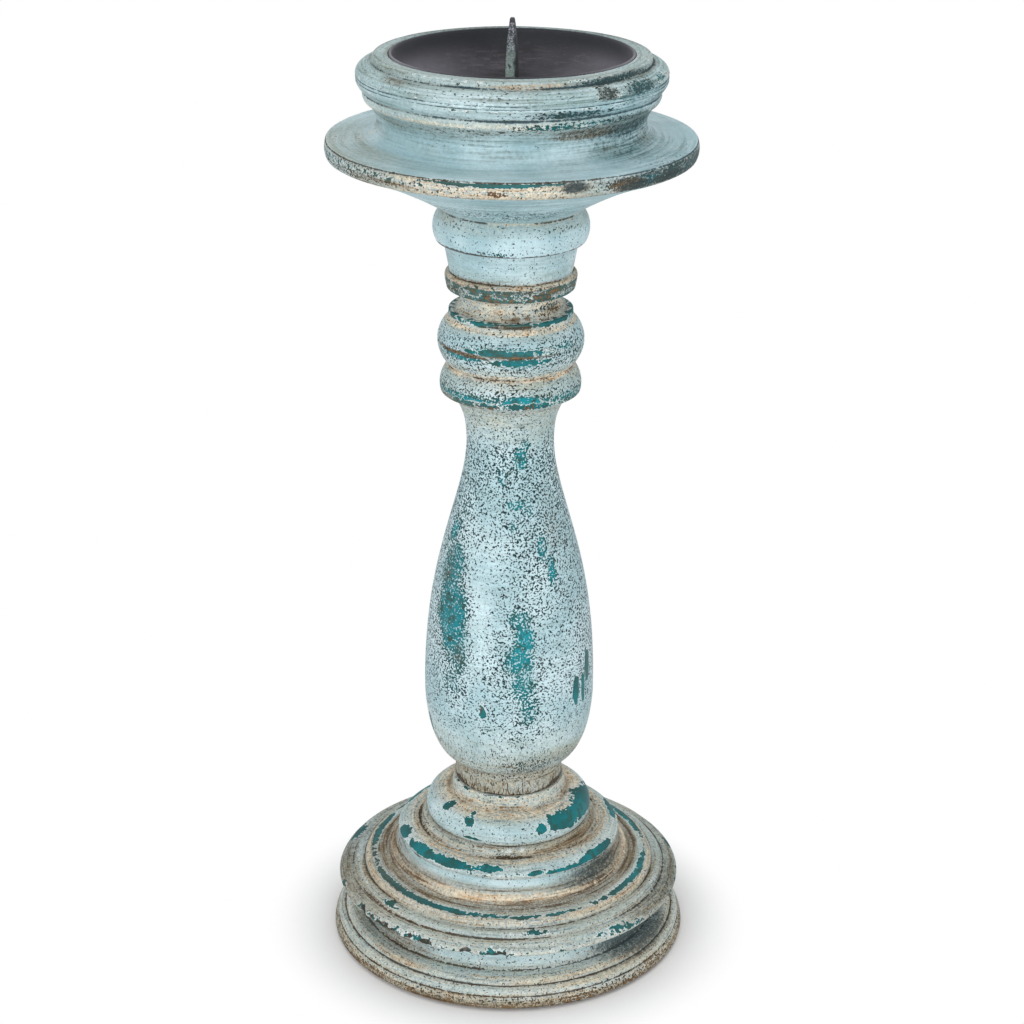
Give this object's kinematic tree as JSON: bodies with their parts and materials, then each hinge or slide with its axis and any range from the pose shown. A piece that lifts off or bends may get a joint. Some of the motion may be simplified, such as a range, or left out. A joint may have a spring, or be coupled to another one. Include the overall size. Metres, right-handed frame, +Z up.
{
  "type": "candle holder",
  "caption": "Turned wooden baluster candle holder with a stepped round base, a wide drip plate and a cup that holds an iron pan with a pricket spike for a pillar candle.",
  "frame": {"origin": "on the turning axis, at the surface that the felt pads stand on", "axes": "+Z up along the turning axis to the spike's tip; -Y towards the viewer of the picture"},
  "size_m": [0.1636, 0.1636, 0.4256],
  "materials": {
    "painted_wood": "worn pale blue chalk paint over teal",
    "blackened_iron": "blackened satin",
    "zinc_steel": "zinc plated",
    "felt": "pressed felt"
  },
  "bodies": {
    "root": {"base_plinth": "painted_wood", "base_dome": "painted_wood", "baluster": "painted_wood", "capital": "painted_wood", "candle_cup": "painted_wood", "drip_pan": "blackened_iron", "spike": "blackened_iron", "centre_screw": "zinc_steel", "centre_washer": "zinc_steel", "base_screw_1": "zinc_steel", "base_screw_2": "zinc_steel", "base_screw_3": "zinc_steel", "base_screw_4": "zinc_steel", "felt_pad_1": "felt", "felt_pad_2": "felt", "felt_pad_3": "felt", "felt_pad_4": "felt"}
  },
  "joints": []
}
